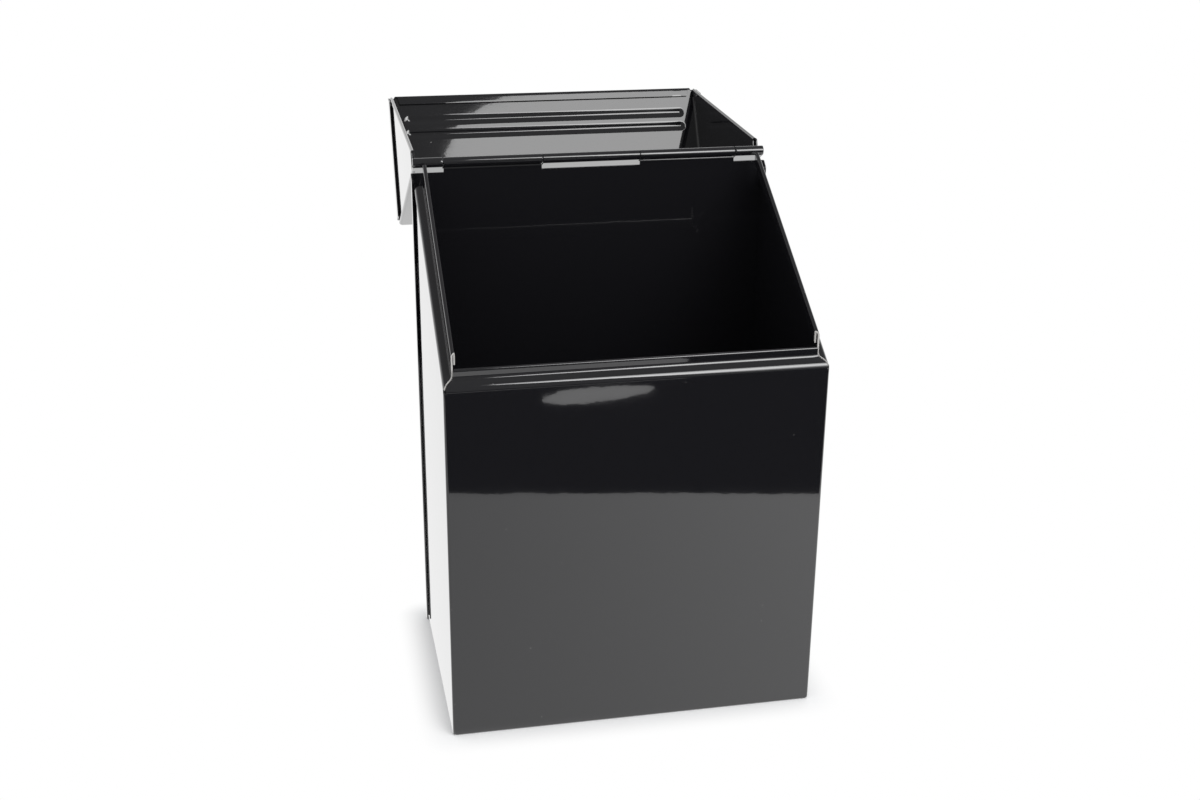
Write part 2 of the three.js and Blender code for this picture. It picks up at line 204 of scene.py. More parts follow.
def on_slope(hand, p, q, y):
    """Point of a side's rim: p inwards from the side face, q square to the slope, at a place y."""
    s = (y - front + q * math.sin(slope)) / math.cos(slope)
    return place(
        hand * (width / 2 - p), y, front_height + q * math.cos(slope) + s * math.sin(slope)
    )


def ripple(x, z, height):
    """Slight unevenness of a rolled panel: three crossed sine waves, none higher than the height."""
    return height * (
        0.5 * np.sin(x / 31 + z / 57 + 0.6)
        + 0.3 * np.sin(x / 13 - z / 41 + 2.1)
        + 0.2 * np.sin(x / 7.3 + z / 23 + 4.0)
    )


def bend_start(radius, turn):
    """Distance from the corner that a bend rounds off to its start: radius * tan(turn / 2)."""
    return radius * math.tan(turn / 2)


def rim(pitch, radius, root, collar):
    """Section of a rim: a bend inwards, a shoulder at its pitch, a bend upwards, a collar and its hem."""
    turn = math.pi / 2 - pitch
    toe = bend_start(root, turn)
    return fold(
        (middle, -bend_start(radius, turn)), 90,
        (-math.degrees(turn), radius - middle, 18),
        (shoulder_width / math.cos(pitch) - bend_start(radius, turn) - toe, 2),
        (math.degrees(turn), root + middle, 18),
        (collar - shoulder_width * math.tan(pitch) - toe - hem_radius, 3),
        (-180, hem_bend, 12),
        (collar_hem, 3),
    )


foot = fold((middle, hem_radius), -90, (180, hem_bend, 12), (foot_hem, 3))
inner = width / 2 - corner_radius
across = spread(-inner, inner, 60)
side_rear = spread(shell_end, rim_end, 4)
side_run = spread(rim_end, front + corner_radius, 40)

plan = np.concatenate([
    place(-width / 2 + middle, side_rear, 0)[:-1, :2],
    place(-width / 2 + middle, side_run, 0)[:, :2],
    fold((-width / 2 + middle, front + corner_radius), -90, (90, corner_radius - middle, 18))[1:-1],
    place(across, front + middle, 0)[:, :2],
    fold((inner, front + middle), 0, (90, corner_radius - middle, 18))[1:-1],
    place(width / 2 - middle, side_run[::-1], 0)[:, :2],
    place(width / 2 - middle, side_rear[::-1], 0)[1:, :2],
])
front_rim = rim(slope, brow_radius, brow_root, front_collar)
side_rim = rim(0, rim_radius, rim_root, side_collar)
at_front = plan[:, 1] < front + corner_radius - 1e-6
side_top = slope_height(plan[:, 1]) - rim_radius / math.cos(slope)
wall_top = np.where(at_front, front_height + front_rim[0, 1], side_top)
up = spread(0, 1, 60)
walls = ruled(place(*plan.T, hem_radius), place(*plan.T, wall_top), up)
fade = np.clip((inner - np.abs(walls[..., 0])) / dish_margin, 0, 1) * np.sin(math.pi * up) ** 0.5
dish = panel_dish + ripple(walls[..., 0], walls[..., 2], panel_dish)
walls[..., 1] += np.where(walls[..., 1] < front + 0.5, dish, 0) * fade

shell_grids = [walls]
for section, base in ((front_rim, front_height), (foot, 0)):
    reach = np.minimum(inner, width / 2 - mitre_cut - section[:, 0])
    left = place(-reach, front + section[:, 0], base + section[:, 1])
    right = place(reach, front + section[:, 0], base + section[:, 1])
    shell_grids.append(ruled(left, right, share_of(across)))
for hand in (-1, 1):
    p, q = side_rim.T
    begin = front + np.maximum(corner_radius, mitre_cut + p)
    rear, fore = on_slope(hand, p, q, np.full_like(p, rim_end)), on_slope(hand, p, q, begin)
    shell_grids.append(ruled(rear, fore, share_of(side_run)))
    p, q = foot.T
    begin = front + np.maximum(corner_radius, mitre_cut + p)
    x = hand * (width / 2 - p)
    shell_grids.append(ruled(place(x, rim_end, q), place(x, begin, q), share_of(side_run)))
    shell_grids.append(ruled(place(x, shell_end, q), place(x, rim_end, q), share_of(side_rear)))
shell = sheet_piece("shell", shell_grids, "box", "body_shell")


def group(name, inputs, outputs):
    """An empty shader node group with its named inputs (name, kind, default) and outputs."""
    tree = bpy.data.node_groups.new(name, "ShaderNodeTree")
    for label, kind, value in inputs:
        socket = tree.interface.new_socket(label, in_out="INPUT", socket_type=kind)
        if value is not None:
            socket.default_value = value
    for label, kind in outputs:
        tree.interface.new_socket(label, in_out="OUTPUT", socket_type=kind)
    return tree, tree.nodes.new("NodeGroupInput"), tree.nodes.new("NodeGroupOutput")


def math_node(tree, operation, *values, clamp=False):
    """A Math node on sockets or numbers. It gives back its output."""
    node = tree.nodes.new("ShaderNodeMath")
    node.operation = operation
    node.use_clamp = clamp
    for slot, value in zip(node.inputs, values):
        if isinstance(value, bpy.types.NodeSocket):
            tree.links.new(value, slot)
        else:
            slot.default_value = value
    return node.outputs[0]


def noise(tree, vector, scale, detail=2.0, roughness=0.5):
    """Noise of a scale in cycles to the metre. It gives back its 0 to 1 output."""
    node = tree.nodes.new("ShaderNodeTexNoise")
    node.inputs["Scale"].default_value = scale
    node.inputs["Detail"].default_value = detail
    node.inputs["Roughness"].default_value = roughness
    tree.links.new(vector, node.inputs["Vector"])
    return node.outputs["Fac"]


def coordinates(tree, vector):
    """The three coordinates of a vector socket, as outputs named X, Y and Z."""
    node = tree.nodes.new("ShaderNodeSeparateXYZ")
    tree.links.new(vector, node.inputs["Vector"])
    return node.outputs


# Orange peel is the fine and coarse unevenness that enamel dries with, in cycles to the metre.
fine_peel, coarse_peel = 420, 90
peel, peel_in, peel_out = group(
    "orange peel",
    [
        ("Vector", "NodeSocketVector", None),
        ("Fine", "NodeSocketFloat", 1.0),
        ("Coarse", "NodeSocketFloat", 1.0),
    ],
    [("Height", "NodeSocketFloat")],
)
fine = noise(peel, peel_in.outputs["Vector"], fine_peel, 2.0)
fine = math_node(peel, "MULTIPLY", fine, peel_in.outputs["Fine"])
coarse = noise(peel, peel_in.outputs["Vector"], coarse_peel, 1.0)
coarse = math_node(peel, "MULTIPLY", coarse, peel_in.outputs["Coarse"])
peel.links.new(math_node(peel, "ADD", fine, coarse), peel_out.inputs["Height"])

# Dust is a scatter of pale specks, each a small ball about the middle of a random cell.
largest_speck = 0.045
dust, dust_in, dust_out = group(
    "dust",
    [
        ("Vector", "NodeSocketVector", None),
        ("Cells", "NodeSocketFloat", 180.0),
        ("Amount", "NodeSocketFloat", 0.3),
    ],
    [("Speck", "NodeSocketFloat")],
)
cells = dust.nodes.new("ShaderNodeTexVoronoi")
dust.links.new(dust_in.outputs["Vector"], cells.inputs["Vector"])
dust.links.new(dust_in.outputs["Cells"], cells.inputs["Scale"])
chance = dust.nodes.new("ShaderNodeSeparateColor")
dust.links.new(cells.outputs["Color"], chance.inputs["Color"])
chosen = math_node(dust, "LESS_THAN", chance.outputs["Red"], dust_in.outputs["Amount"])
speck_size = math_node(dust, "MULTIPLY", chance.outputs["Green"], largest_speck)
within = math_node(dust, "LESS_THAN", cells.outputs["Distance"], speck_size)
dust.links.new(math_node(dust, "MULTIPLY", chosen, within), dust_out.inputs["Speck"])

black = (0.0085, 0.0085, 0.0100, 1)
pale_grey = (0.42, 0.41, 0.40, 1)
haze, smear_haze, rubbed_haze, pale_roughness = 0.02, 0.05, 0.45, 0.8
peel_height = 4e-6  # in metres


def enamel(name, shift, gloss=1.0, painted_highlight=None):
    """Gloss black enamel: near-black colour under a clear, slightly uneven surface with a little dust.

    Each piece shifts the patterns by its own distance. Gloss is below 1 where things rub on the piece,
    and painted_highlight is a function that adds a mask of pale grey painted highlight to the tree.
    """
    material = bpy.data.materials.new(name)
    material.use_nodes = True
    tree = material.node_tree
    shader = tree.nodes["Principled BSDF"]
    shader.inputs["IOR"].default_value = 1.5
    shader.inputs["Coat Roughness"].default_value = 0.015
    shader.inputs["Coat IOR"].default_value = 1.5
    where = tree.nodes.new("ShaderNodeTexCoord")
    moved = tree.nodes.new("ShaderNodeMapping")
    moved.inputs["Location"].default_value = shift
    tree.links.new(where.outputs["Object"], moved.inputs["Vector"])

    specks = tree.nodes.new("ShaderNodeGroup")
    specks.node_tree = dust
    specks.inputs["Cells"].default_value = 190
    specks.inputs["Amount"].default_value = 0.22
    tree.links.new(moved.outputs["Vector"], specks.inputs["Vector"])
    colour = tree.nodes.new("ShaderNodeMix")
    colour.data_type = "RGBA"
    colour.inputs["A"].default_value = black
    colour.inputs["B"].default_value = pale_grey
    # Pale grey marks the dust specks, and also the painted highlight where a mask for it is given.
    pale = specks.outputs["Speck"]
    if painted_highlight is not None:
        pale = math_node(tree, "MAXIMUM", pale, painted_highlight(tree, where.outputs["Object"]))
    tree.links.new(pale, colour.inputs["Factor"])
    tree.links.new(colour.outputs["Result"], shader.inputs["Base Color"])
    clear = math_node(tree, "MULTIPLY", math_node(tree, "SUBTRACT", 1.0, pale), gloss)
    tree.links.new(clear, shader.inputs["Coat Weight"])

    smear = noise(tree, moved.outputs["Vector"], 28, 3.0, 0.6)
    hazy = math_node(tree, "MULTIPLY_ADD", smear, smear_haze, haze + rubbed_haze * (1 - gloss))
    dull = math_node(tree, "MAXIMUM", hazy, math_node(tree, "MULTIPLY", pale, pale_roughness))
    tree.links.new(dull, shader.inputs["Roughness"])

    skin = tree.nodes.new("ShaderNodeGroup")
    skin.node_tree = peel
    skin.inputs["Fine"].default_value = 0.45
    skin.inputs["Coarse"].default_value = 3.2
    tree.links.new(moved.outputs["Vector"], skin.inputs["Vector"])
    bump = tree.nodes.new("ShaderNodeBump")
    bump.inputs["Strength"].default_value = 1.0
    bump.inputs["Distance"].default_value = peel_height
    tree.links.new(skin.outputs["Height"], bump.inputs["Height"])
    tree.links.new(bump.outputs["Normal"], shader.inputs["Normal"])
    tree.links.new(bump.outputs["Normal"], shader.inputs["Coat Normal"])
    return material


# A thin pale grey band along each mitre cut of the shell is a painted highlight, not bare metal.
mitre_line = (width / 2 + front) / 1000
highlight_reach, highlight_half_width = 0.0003, 0.0004
highlight_foot = (front_height - 1.5) / 1000


def mitre_highlight(tree, where):
    """Mask of a painted highlight along the cut edge of each side's rim at its mitre, where |x| + y is a
    little over 30 mm.
    """
    spot = coordinates(tree, where)
    inwards = math_node(tree, "SUBTRACT", mitre_line, math_node(tree, "ABSOLUTE", spot["X"]))
    past = math_node(tree, "ADD", math_node(tree, "SUBTRACT", inwards, spot["Y"]), highlight_reach)
    near = math_node(tree, "LESS_THAN", math_node(tree, "ABSOLUTE", past), highlight_half_width)
    return math_node(tree, "MULTIPLY", near, math_node(tree, "GREATER_THAN", spot["Z"], highlight_foot))


# On the shell, a pale grey band is painted along each mitre cut as a painted highlight.
shell.data.materials.append(enamel("shell enamel", (0.0, 0.0, 0.0), painted_highlight=mitre_highlight))

# ---- base pan --------------------------------------------------------------------------------------
# The floor is a shallow tray of the same sheet, pushed up between the shell's hems and spot-welded. Its
# enamel is rubbed dull by what is put in and taken out.

pan_radius = 2.0
pan_wall = 12.0
pan_clearance, pan_rear_clearance = 2.3, 1.1
pan_notch = 2.5
pan_gloss = 0.2
pan_half = width / 2 - pan_clearance
pan_front, pan_back = front + pan_clearance, back - pan_rear_clearance

pan_x = spread(-pan_half + pan_notch, pan_half - pan_notch, 30)
pan_y = spread(pan_front + pan_notch, pan_back - pan_notch, 20)
pan_side = ((pan_wall - pan_radius, 3), (90, pan_radius - middle, 10))
crossways = fold((pan_front + middle, pan_wall), -90, *pan_side)
lengthways = fold((-pan_half + middle, pan_wall), -90, *pan_side)
pan_grids = []
for rear in (False, True):
    y = pan_front + pan_back - crossways[:, 0] if rear else crossways[:, 0]
    low, high = place(pan_x[0], y, crossways[:, 1]), place(pan_x[-1], y, crossways[:, 1])
    pan_grids.append(ruled(low, high, share_of(pan_x)))
    edge_y = pan_back - pan_radius if rear else pan_front + pan_radius
    line_y = pan_y[-1] if rear else pan_y[0]
    pan_grids.append(ruled(place(pan_x, edge_y, middle), place(pan_x, line_y, middle), (0, 1)))
for hand in (1, -1):
    x, z = lengthways[:, 0] * hand, lengthways[:, 1]
    pan_grids.append(ruled(place(x, pan_y[0], z), place(x, pan_y[-1], z), share_of(pan_y)))
    edge_x = hand * (-pan_half + pan_radius)
    line_x = hand * pan_x[0]
    pan_grids.append(ruled(place(edge_x, pan_y, middle), place(line_x, pan_y, middle), (0, 1)))
low, high = place(pan_x, pan_y[0], middle), place(pan_x, pan_y[-1], middle)
pan_grids.append(ruled(low, high, share_of(pan_y)))
pan = sheet_piece("pan", pan_grids, "box", "base_pan")
pan.data.materials.append(enamel("pan enamel", (0.31, 0.12, 0.05), gloss=pan_gloss))

# ---- back panel ------------------------------------------------------------------------------------
# One sheet laps over the rear of both sides. Two tabs of its top edge are brought out over it by a
# reverse bend and rolled forward round the hinge wire. The open lid rests in those reverse bends.

flange = 5.0
lap_gap = 0.3
back_radius = 1.0
back_foot = 0.4
waist = 236.0
rear_height = slope_height(back)
hinge_y = back - middle
hinge_z = rear_height + 5.0
barrel_radius = 2.5
curl_radius = barrel_radius - middle
offset_radius = 1.6
body_roll_end = 230.0
knuckle_ends = np.array([-90.0, -75.0, -25.0, 25.0, 75.0, 90.0])
knuckle_gap = 0.5

offset = math.acos(offset_radius / (offset_radius + curl_radius))
rise = (offset_radius + curl_radius) * math.sin(offset)
half = width / 2 + lap_gap + sheet
corner_x = half - back_radius
flange_y = spread(back - flange, back - back_radius, 6)
bend_left = fold((-half + middle, flange_y[-1]), 90, (-90, back_radius - middle, 14))
tab_ends = knuckle_ends[1:-1] + knuckle_gap / 2 * np.array([1, -1, 1, -1])
edges = [-corner_x, *tab_ends, corner_x]

upright = spread(0, 1, 50)
crown = spread(0, 1, 6)
back_grids = []


def back_strip(x, y, top):
    """The back's sheet over one line of its plan, from its foot by way of its waist to a top."""
    back_grids.append(ruled(place(x, y, back_foot), place(x, y, waist), upright))
    back_grids.append(ruled(place(x, y, waist), place(x, y, top), crown))


for hand in (-1, 1):
    flange_tops = np.linspace(slope_height(flange_y[0]), rear_height, len(flange_y))
    back_strip(-hand * bend_left[0, 0], flange_y, flange_tops)
    back_strip(-hand * bend_left[:, 0], bend_left[:, 1], rear_height)
curl = fold(
    (hinge_y, rear_height), 90,
    (hinge_z - rise - rear_height, 2),
    (-math.degrees(offset), offset_radius, 12),
    (math.degrees(offset) + body_roll_end, curl_radius, 48),
)
for n, (low, high) in enumerate(zip(edges[:-1], edges[1:])):
    x = spread(low, high, 16)
    back_strip(x, hinge_y, rear_height)
    if n % 2:
        back_grids.append(ruled(place(low, *curl.T), place(high, *curl.T), share_of(x)))
back_sheet = sheet_piece("back", back_grids, "box", "back_panel")
back_sheet.data.materials.append(enamel("back enamel", (0.07, 0.41, 0.22)))

# ---- hinge wire ------------------------------------------------------------------------------------
# A plain drawn steel wire runs through all five knuckles. It shows in their gaps and at its two ends.
# It is its bevelled profile (x, radius) carried round the hinge line.

wire_half = 90.0
wire_radius = 1.4
wire_bevel = 0.3
wire_facets = 32

profile = np.array([
    [-wire_half, 0.0],
    [-wire_half, wire_radius - wire_bevel],
    [-wire_half + wire_bevel, wire_radius],
    [wire_half - wire_bevel, wire_radius],
    [wire_half, wire_radius - wire_bevel],
    [wire_half, 0.0],
])
turn = 2 * math.pi * np.arange(wire_facets + 1) / wire_facets
grid = place(
    profile[:, None, 0],
    hinge_y + profile[:, None, 1] * np.cos(turn),
    hinge_z + profile[:, None, 1] * np.sin(turn),
)
wire_mesh = welded_mesh("wire", grid.reshape(-1, 3), grid_quads(*grid.shape[:2]))
wire_mesh.set_sharp_from_angle(angle=math.radians(30))
wire = bpy.data.objects.new("wire", wire_mesh)
bpy.context.scene.collection.objects.link(wire)
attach(wire, "box")
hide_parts("hinge_pin")

dark_steel, bright_steel = (0.16, 0.16, 0.17, 1), (0.38, 0.38, 0.39, 1)
drawn_roughness, mark_roughness = 0.22, 0.25
drawn = bpy.data.materials.new("drawn wire")
drawn.use_nodes = True
tree = drawn.node_tree
steel = tree.nodes["Principled BSDF"]
steel.inputs["Metallic"].default_value = 1.0
stretch = tree.nodes.new("ShaderNodeMapping")
stretch.inputs["Scale"].default_value = (0.04, 1, 1)
tree.links.new(tree.nodes.new("ShaderNodeTexCoord").outputs["Object"], stretch.inputs["Vector"])
draw_marks = noise(tree, stretch.outputs["Vector"], 6000, 2.0)
steel_tone = tree.nodes.new("ShaderNodeValToRGB")
steel_tone.color_ramp.elements[0].color = dark_steel
steel_tone.color_ramp.elements[1].color = bright_steel
tree.links.new(draw_marks, steel_tone.inputs["Fac"])
tree.links.new(steel_tone.outputs["Color"], steel.inputs["Base Color"])
dulled = math_node(tree, "MULTIPLY_ADD", draw_marks, mark_roughness, drawn_roughness)
tree.links.new(dulled, steel.inputs["Roughness"])
wire_mesh.materials.append(drawn)

# ---- lid cover -------------------------------------------------------------------------------------
# The lid's top and its two triangular cheeks are one folded sheet with hemmed free edges. Three tabs of
# the top's rear edge are rolled down round the wire. It is laid out shut and then turned about the wire.

lid_gap = 0.5
lid_radius = 1.6
lid_bend = lid_radius - middle
lid_hem = 5.0
hem_start = 0.7
hem_taper = 3.0
taper_power = 1.5
cheek_end = 53.0
cheek_front = front + lid_radius
tab_start = cheek_end + 0.5
barrel_clearance = 0.3
lid_roll = 298.0
lid_top = hinge_z + barrel_radius
open_turn = math.radians(208.8)
clear_radius = barrel_radius + barrel_clearance
notch_y = hinge_y - math.sqrt(clear_radius ** 2 - (barrel_radius - sheet) ** 2)


def thrown_back(grid):
    """A grid laid out on the shut lid, turned back about the hinge wire by the open angle."""
    y, z = grid[..., 1] - hinge_y, grid[..., 2] - hinge_z
    turned = grid.copy()
    turned[..., 1] = hinge_y + y * math.cos(open_turn) + z * math.sin(open_turn)
    turned[..., 2] = hinge_z - y * math.sin(open_turn) + z * math.cos(open_turn)
    return turned


lift = lid_gap * math.cos(slope)
half = width / 2
top_x = half - lid_radius
cheek_y = spread(cheek_front, cheek_end, 40)
bend_y = np.concatenate([[front], cheek_y])
run_y = np.concatenate([bend_y, [tab_start, notch_y]])
arc = fold((-half + middle, lid_top - lid_radius), 90, (-90, lid_bend, 16))
cheek_top = lid_top - lid_radius
cheek_foot = slope_height(cheek_y) + lid_gap + hem_radius / math.cos(slope)
cover_grids = []
for hand in (-1, 1):
    x, z = -hand * arc[:, 0], arc[:, 1]
    cover_grids.append(ruled(place(x, bend_y[0], z), place(x, bend_y[-1], z), share_of(bend_y)))
    x = hand * (half - middle)
    low, high = place(x, cheek_y, cheek_top), place(x, cheek_y, cheek_foot)
    cover_grids.append(ruled(low, high, spread(0, 1, 24)))
    p, q = fold((middle, lift + hem_radius), -90, (180, hem_bend, 12), (lid_hem - hem_radius, 4)).T
    taper = np.linspace(0, 1, len(p)) ** taper_power
    fore = on_slope(hand, p, q, cheek_front + taper * (hem_start + hem_taper * math.cos(slope)))
    rear = on_slope(hand, p, q, cheek_end - taper * hem_taper * math.cos(slope))
    cover_grids.append(ruled(fore, rear, share_of(cheek_y)))
tab_ends = knuckle_ends[1:-1] + knuckle_gap / 2 * np.array([-1, 1, -1, 1])
edges = [-top_x, *tab_ends, top_x]
roll = fold((notch_y, lid_top - middle), 0, (hinge_y - notch_y, 3), (-lid_roll, curl_radius, 60))
z = lid_top - middle
for n, (low, high) in enumerate(zip(edges[:-1], edges[1:])):
    x = spread(low, high, 14)
    cover_grids.append(ruled(place(x, run_y[0], z), place(x, run_y[-1], z), share_of(run_y)))
    if n % 2 == 0:
        cover_grids.append(ruled(place(low, *roll.T), place(high, *roll.T), share_of(x)))
for hand in (-1, 1):
    x = hand * np.array([top_x, half])
    cover_grids.append(ruled(place(x, tab_start, z), place(x, notch_y, z), (0, 1)))
    cover_grids.append(ruled(place(x[0], *roll.T), place(x[1], *roll.T), (0, 1)))
cover = sheet_piece("lid_cover_sheet", [thrown_back(grid) for grid in cover_grids], "lid", "lid_cover")
cover.data.materials.append(enamel("lid enamel", (0.53, 0.27, 0.61)))

# ---- lid front -------------------------------------------------------------------------------------
# The lid's front panel laps over the cheeks with a flange at each end and turns in under the top. Two
# beads are pressed outwards across it, and its lower edge is hemmed. Enamel fills the seam between the
# panel and each cheek.

bead_width = 5.0
bead_blend = 0.6
bead_height = 0.75
bead_end = 8.0
bead_rise = 14.4
bead_pitch = 8.2
bead_margin = 4.0
lid_flange = 10.0
lid_front_gap = 1.1
hem_clearance = 2.3
seam_radius = 0.9

bottom = front_height + lid_front_gap
flange_top = lid_top - sheet - lap_gap
half = width / 2 + lap_gap + sheet
flat_x = half - lid_radius
top_half = width / 2 - lid_radius - lap_gap
hem_half = width / 2 - hem_clearance
bead_half = width / 2 - bead_end - bead_width / 2
bead_z = (bottom + bead_rise, bottom + bead_rise + bead_pitch)


def bead_rise_at(x, z, middle_z):
    """Height of a pressed bead: a squared cosine of the distance from its middle line, over its width."""
    away = np.hypot(np.maximum(np.abs(x) - bead_half, 0), z - middle_z)
    reach = bead_width / 2 + bead_blend
    return bead_height * np.cos(np.clip(away / reach, 0, 1) * math.pi / 2) ** 2


end_x = np.array([hem_half, top_half, flat_x])
front_x = np.concatenate([
    -end_x[::-1],
    spread(-hem_half, -bead_half - bead_margin, 6)[1:],
    spread(-bead_half - bead_margin, -bead_half + 1, 20)[1:],
    spread(-bead_half + 1, bead_half - 1, 40)[1:],
    spread(bead_half - 1, bead_half + bead_margin, 20)[1:],
    spread(bead_half + bead_margin, hem_half, 6)[1:-1],
    end_x,
])
front_z = np.concatenate([
    spread(bottom + hem_radius, bead_z[0] - bead_margin, 12),
    spread(bead_z[0] - bead_margin, bead_z[1] + bead_margin, 56)[1:],
    spread(bead_z[1] + bead_margin, flange_top - lid_radius, 40)[1:],
])
low, high = (place(front_x, front + middle, z) for z in (front_z[0], front_z[-1]))
panel = ruled(low, high, share_of(front_z))
x, z = panel[..., 0], panel[..., 2]
panel[..., 1] -= bead_rise_at(x, z, bead_z[0]) + bead_rise_at(x, z, bead_z[1])
lid_grids = [panel]
side_arc = fold((flat_x, front + middle), 0, (90, lid_bend, 14))
flange_run = fold((half - middle, front + lid_radius), 90, (lid_flange - lid_radius, 8))
flange_end = slope_height(front + lid_flange) + lid_gap + hem_radius
flange_foot = np.linspace(bottom + hem_radius, flange_end, len(flange_run))
seam_start = (width / 2 - sheet + middle, front + sheet + seam_radius)
seam = fold(seam_start, -90, (-90, seam_radius + middle, 10))
for hand in (-1, 1):
    x, y = hand * seam[:, 0], seam[:, 1]
    low, high = place(x, y, bottom + lid_hem + 0.5), place(x, y, front_z[-1])
    lid_grids.append(ruled(low, high, spread(0, 1, 4)))
    x, y = hand * side_arc[:, 0], side_arc[:, 1]
    low, high = place(x, y, front_z[0]), place(x, y, front_z[-1])
    lid_grids.append(ruled(low, high, share_of(front_z)))
    x, y = hand * flange_run[:, 0], flange_run[:, 1]
    low, high = place(x, y, flange_foot), place(x, y, front_z[-1])
    lid_grids.append(ruled(low, high, share_of(front_z)))
hem_x = front_x[np.abs(front_x) <= hem_half + 1e-6]
y, z = fold((middle, hem_radius), -90, (180, hem_bend, 12), (lid_hem - hem_radius, 4)).T
taper = hem_half - hem_taper * np.linspace(0, 1, len(y)) ** taper_power
low, high = (place(hand * taper, front + y, bottom + z) for hand in (-1, 1))
lid_grids.append(ruled(low, high, share_of(hem_x)))
ledge_x = front_x[np.abs(front_x) <= top_half + 1e-6]
ledge_start = (front + middle, flange_top - lid_radius)
y, z = fold(ledge_start, 90, (-90, lid_bend, 16), (lid_flange - lid_radius, 4)).T
lid_grids.append(ruled(place(-top_half, y, z), place(top_half, y, z), share_of(ledge_x)))
lid_panel = sheet_piece("lid_front_sheet", [thrown_back(grid) for grid in lid_grids], "lid", "lid_front")
lid_panel.data.materials.append(enamel("lid panel enamel", (0.19, 0.73, 0.36)))

# ---- studio ----------------------------------------------------------------------------------------
# The box stands on a plain white floor whose front edge is 0.32 m before it, over a dark drop. A soft
# key light stands to the right of the camera, and the studio overhead is a dim grey. The gloss takes
# its lights and darks from cards that only reflections see.


def stage_mesh(name, points, faces):
    """A plain stage mesh in metres, linked to the scene."""
    mesh = bpy.data.meshes.new(name)
    mesh.from_pydata(points, [], faces)
    item = bpy.data.objects.new(name, mesh)
    bpy.context.scene.collection.objects.link(item)
    return item


def ramp(tree, value, start, end, low, high):
    """A smooth step of a socket from low at the start to high at the end. It gives back its output."""
    node = tree.nodes.new("ShaderNodeMapRange")
    node.interpolation_type = "SMOOTHSTEP"
    for slot, number in zip(node.inputs[1:5], (start, end, low, high)):
        slot.default_value = number
    tree.links.new(value, node.inputs["Value"])
    return node.outputs["Result"]


def vector_node(tree, operation, first, second=None):
    """A Vector Math node on a socket and a constant. It gives back the node."""
    node = tree.nodes.new("ShaderNodeVectorMath")
    node.operation = operation
    tree.links.new(first, node.inputs[0])
    if second is not None:
        node.inputs[1].default_value = second
    return node


def straight_rays(tree):
    """The tree's Light Path node, and a mask of the rays that look straight or through glass."""
    path = tree.nodes.new("ShaderNodeLightPath")
    sight, glass = path.outputs["Is Camera Ray"], path.outputs["Is Transmission Ray"]
    return path, math_node(tree, "ADD", sight, glass, clamp=True)


floor_turn = math.radians(10.5)
floor_edge = 0.319
ahead = np.array([math.sin(floor_turn), -math.cos(floor_turn)])
aside = np.array([math.cos(floor_turn), math.sin(floor_turn)])
footprint = (0.09, 0.06, 0.0)
shadow_start, shadow_end = -0.006, 0.018
tone_from, tone_to = -0.20, 0.30
left_tone, right_tone, plain_tone = 0.70, 1.26, 0.98

floor_corners = ((-4, -5), (4, -5), (4, floor_edge), (-4, floor_edge))
floor_points = [(*(a * aside + b * ahead), 0.0) for a, b in floor_corners]
floor = stage_mesh("floor", floor_points, [(0, 3, 2, 1)])
white = bpy.data.materials.new("floor white")
white.use_nodes = True
tree = white.node_tree
paint = tree.nodes["Principled BSDF"]
paint.inputs["Base Color"].default_value = (0.90, 0.905, 0.915, 1)
paint.inputs["Roughness"].default_value = 0.7
paint.inputs["Specular IOR Level"].default_value = 0.2
# It is white to the camera from a little way off the footprint, and keeps the shadow within that. In
# gloss it is white all over, a little darker to the left and brighter to the right before the box.
where = tree.nodes.new("ShaderNodeTexCoord").outputs["Object"]
beyond = vector_node(tree, "SUBTRACT", vector_node(tree, "ABSOLUTE", where).outputs[0], footprint)
outside = vector_node(tree, "MAXIMUM", beyond.outputs[0], (0.0, 0.0, 0.0))
away = vector_node(tree, "LENGTH", outside.outputs[0])
whiten = ramp(tree, away.outputs["Value"], shadow_start, shadow_end, 0, 1)
path, straight = straight_rays(tree)
in_gloss = path.outputs["Is Glossy Ray"]
seen = math_node(tree, "ADD", math_node(tree, "MULTIPLY", straight, whiten), in_gloss, clamp=True)
spot = coordinates(tree, where)
across_tone = ramp(tree, spot["X"], tone_from, tone_to, left_tone, right_tone)
in_front = ramp(tree, spot["Y"], -0.066, -0.060, 1, 0)
shift = math_node(tree, "MULTIPLY", math_node(tree, "SUBTRACT", across_tone, plain_tone), in_front)
shift = math_node(tree, "SUBTRACT", shift, 1 - plain_tone)
glow = tree.nodes.new("ShaderNodeEmission")
tone = math_node(tree, "ADD", math_node(tree, "MULTIPLY", in_gloss, shift), 1.0)
tree.links.new(tone, glow.inputs["Strength"])
blend = tree.nodes.new("ShaderNodeMixShader")
tree.links.new(seen, blend.inputs["Fac"])
tree.links.new(paint.outputs["BSDF"], blend.inputs[1])
tree.links.new(glow.outputs["Emission"], blend.inputs[2])
tree.links.new(blend.outputs["Shader"], tree.nodes["Material Output"].inputs["Surface"])
floor.data.materials.append(white)


def card(name, points, faces, strength):
    """A stage piece that only reflections see, with its own glow: a number, or a function of its tree."""
    item = stage_mesh(name, points, faces)
    item.visible_camera = False
    item.visible_diffuse = False
    item.visible_shadow = False
    item.visible_transmission = False
    shine = bpy.data.materials.new(name)
    shine.use_nodes = True
    tree = shine.node_tree
    tree.nodes.remove(tree.nodes["Principled BSDF"])
    lit = tree.nodes.new("ShaderNodeEmission")
    if callable(strength):
        tree.links.new(strength(tree), lit.inputs["Strength"])
    else:
        lit.inputs["Strength"].default_value = strength
    tree.links.new(lit.outputs["Emission"], tree.nodes["Material Output"].inputs["Surface"])
    item.data.materials.append(shine)


drop = -0.75
dark_corners = ((-9, floor_edge), (9, floor_edge), (9, 9), (-9, 9))
dark_points = [(*(a * aside + b * ahead), drop) for a, b in dark_corners]
card("dark below", dark_points, [(0, 1, 2, 3)], 0.0)

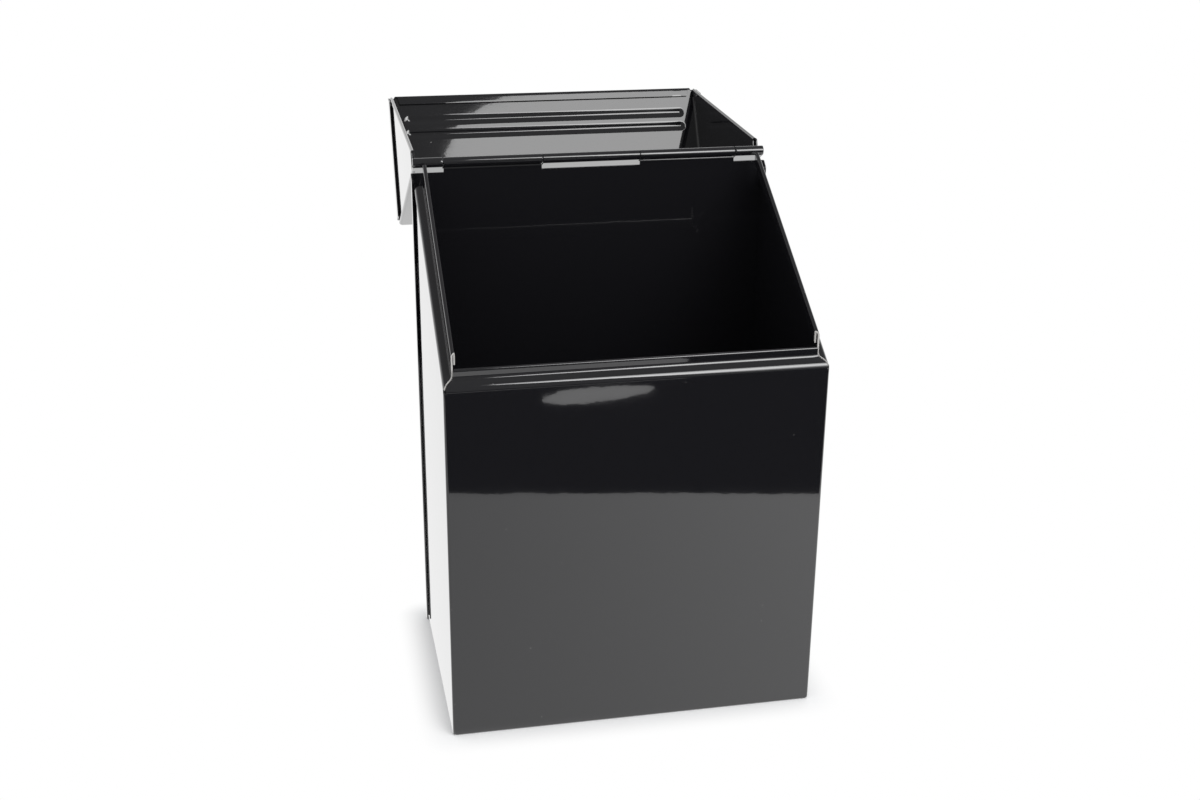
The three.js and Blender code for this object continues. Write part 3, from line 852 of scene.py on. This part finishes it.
oval_middle, oval_axes, oval_lean = (0.069, -0.487), (0.045, 0.014), math.radians(-10)
turn = 2 * math.pi * np.arange(48) / 48
oval = np.stack([oval_axes[0] * np.cos(turn), oval_axes[1] * np.sin(turn)], -1)
lean, square = (math.cos(oval_lean), math.sin(oval_lean)), (-math.sin(oval_lean), math.cos(oval_lean))
oval = oval @ np.array([lean, square]) + oval_middle
card("low card", np.column_stack([oval, 0 * turn]), [tuple(range(48))], 1.5)

strip = [(-0.10, -0.528, 0), (0.152, -0.528, 0), (0.165, -0.62, 0), (-0.11, -0.62, 0)]
card("far strip", strip, [(0, 1, 2, 3)], 1.0)

# The key card is part of a wide arch before the box: rows at the heights key_up, in degrees, each from
# its own left edge to a common right edge.
arch_y, arch_z, arch_radius = 0.19, 0.245, 1.5
key_up = np.radians([8.0, 14.0, 20.0, 27.0, 33.0, 38.0, 44.0, 45.6, 46.6, 47.4, 48.0])[:, None]
key_left = np.array([0.43, 0.38, 0.33, 0.26, 0.15, 0.105, 0.095, 0.115, 0.15, 0.21, 0.32])[:, None]
key_right = 1.15
key_x = key_left + spread(0, 1, 12) * (key_right - key_left)
key_grid = place(key_x, arch_y - arch_radius * np.cos(key_up), arch_z + arch_radius * np.sin(key_up))


def key_glow(tree):
    """Glow of the key card: it is brightest at mid height and falls off towards its foot and its top."""
    height = coordinates(tree, tree.nodes.new("ShaderNodeTexCoord").outputs["Object"])["Z"]
    foot_share = ramp(tree, height, 0.55, 0.95, 0.2, 1.0)
    return math_node(tree, "MULTIPLY", foot_share, ramp(tree, height, 1.08, 1.27, 7.5, 4.0))


card("key card", key_grid.reshape(-1, 3), grid_quads(*key_grid.shape[:2]).tolist(), key_glow)

key_place, key_heading, key_tilt = (0.60, -0.90, 1.08), math.radians(29), math.radians(56)
key = bpy.data.lights.new("key", "AREA")
key.shape = "RECTANGLE"
key.size, key.size_y = 0.9, 0.9
key.energy = 9.0
key_lamp = bpy.data.objects.new("key", key)
key_lamp.matrix_world = (
    Matrix.Translation(key_place)
    @ Matrix.Rotation(key_heading, 4, "Z")
    @ Matrix.Rotation(key_tilt, 4, "X")
)
key_lamp.visible_camera = False
key_lamp.visible_glossy = False
bpy.context.scene.collection.objects.link(key_lamp)

# The world is white to the camera and nearly so as light. In gloss it is white low down and dim
# overhead, and dim at all heights in front.
diffuse, overhead = 0.95, 0.21
world = bpy.data.worlds.new("studio")
bpy.context.scene.world = world
world.use_nodes = True
sky = world.node_tree
aim = coordinates(sky, sky.nodes.new("ShaderNodeTexCoord").outputs["Generated"])
walls_tone = ramp(sky, aim["Z"], 0.02, 0.62, 1.0, overhead)
front_part = ramp(sky, aim["Y"], -0.40, -0.05, 1, 0)
dimmed = math_node(sky, "MULTIPLY", front_part, math_node(sky, "SUBTRACT", walls_tone, overhead))
gloss_tone = math_node(sky, "SUBTRACT", walls_tone, dimmed)
path, straight = straight_rays(sky)
in_gloss = path.outputs["Is Glossy Ray"]
extra = math_node(sky, "MULTIPLY", in_gloss, math_node(sky, "SUBTRACT", gloss_tone, diffuse))
shown = math_node(sky, "ADD", math_node(sky, "MULTIPLY", straight, 1 - diffuse), extra)
surround = sky.nodes["Background"]
sky.links.new(math_node(sky, "ADD", shown, diffuse), surround.inputs["Strength"])
surround.inputs["Color"].default_value = (1, 1, 1, 1)
